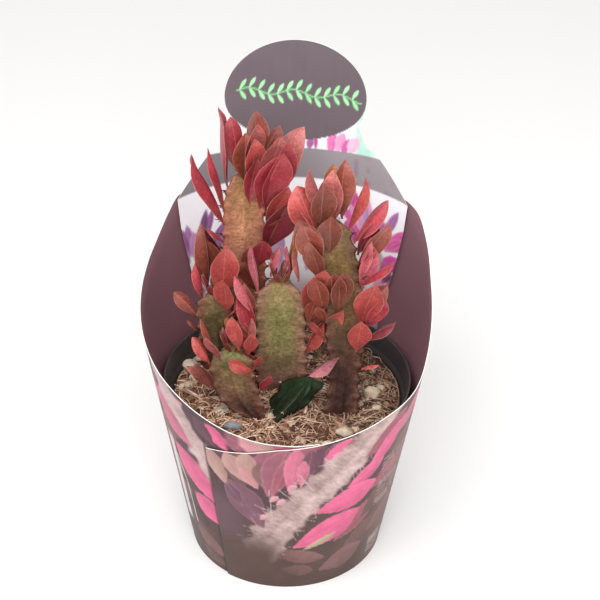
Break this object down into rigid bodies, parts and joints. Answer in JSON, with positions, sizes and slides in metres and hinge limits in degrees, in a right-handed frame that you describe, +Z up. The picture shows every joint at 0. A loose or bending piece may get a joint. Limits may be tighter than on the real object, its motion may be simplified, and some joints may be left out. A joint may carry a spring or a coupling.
{
  "type": "potted euphorbia",
  "caption": "Three-winged succulent with red leaves, planted in a round nursery pot that stands in a printed card sleeve with a header card behind the plant.",
  "frame": {"origin": "centre of the pot's foot, on the surface that it stands on", "axes": "+Z up; -Y is the front, where the sleeve's edge is lowest; +X to the right seen from the front"},
  "size_m": [0.1223, 0.1325, 0.202],
  "materials": {
    "pot_plastic": "black moulded polypropylene",
    "potting_mix": "dry coir and bark fibre, matt",
    "sleeve_card": "printed and varnished card, semi-matt, white cut edges",
    "header_card": "printed and varnished card, semi-matt, white cut edges",
    "stem_skin": "living succulent skin, matt, mottled olive and brown",
    "leaf_blade": "living leaf, satin, coral red to crimson",
    "grit": "dry pale grit, matt"
  },
  "bodies": {
    "root": {"card_sleeve": "sleeve_card", "header_card": "header_card", "leaf_back_left_01": "leaf_blade", "leaf_back_left_02": "leaf_blade", "leaf_back_left_03": "leaf_blade", "leaf_back_left_04": "leaf_blade", "leaf_back_left_05": "leaf_blade", "leaf_front_01": "leaf_blade", "leaf_front_02": "leaf_blade", "leaf_front_03": "leaf_blade", "leaf_front_04": "leaf_blade", "leaf_front_05": "leaf_blade", "leaf_front_06": "leaf_blade", "leaf_front_07": "leaf_blade", "leaf_small_01": "leaf_blade", "leaf_small_02": "leaf_blade", "leaf_small_03": "leaf_blade", "leaf_tall_left_01": "leaf_blade", "leaf_tall_left_02": "leaf_blade", "leaf_tall_left_03": "leaf_blade", "leaf_tall_left_04": "leaf_blade", "leaf_tall_left_05": "leaf_blade", "leaf_tall_left_06": "leaf_blade", "leaf_tall_left_07": "leaf_blade", "leaf_tall_left_08": "leaf_blade", "leaf_tall_left_09": "leaf_blade", "leaf_tall_left_10": "leaf_blade", "leaf_tall_left_11": "leaf_blade", "leaf_tall_left_12": "leaf_blade", "leaf_tall_left_13": "leaf_blade", "leaf_tall_right_01": "leaf_blade", "leaf_tall_right_02": "leaf_blade", "leaf_tall_right_03": "leaf_blade", "leaf_tall_right_04": "leaf_blade", "leaf_tall_right_05": "leaf_blade", "leaf_tall_right_06": "leaf_blade", "leaf_tall_right_07": "leaf_blade", "leaf_tall_right_08": "leaf_blade", "leaf_tall_right_09": "leaf_blade", "leaf_tall_right_10": "leaf_blade", "leaf_tall_right_11": "leaf_blade", "leaf_tall_right_12": "leaf_blade", "leaf_tall_right_13": "leaf_blade", "leaf_tall_right_14": "leaf_blade", "leaf_tall_right_15": "leaf_blade", "leaf_tall_right_16": "leaf_blade", "leaf_tall_right_17": "leaf_blade", "pebble_1": "grit", "pebble_2": "grit", "pebble_3": "grit", "pebble_4": "grit", "pebble_5": "grit", "pot": "pot_plastic", "soil": "potting_mix", "stem_back_left": "stem_skin", "stem_front": "stem_skin", "stem_old_green": "stem_skin", "stem_small": "stem_skin", "stem_tall_left": "stem_skin", "stem_tall_right": "stem_skin"}
  },
  "joints": []
}
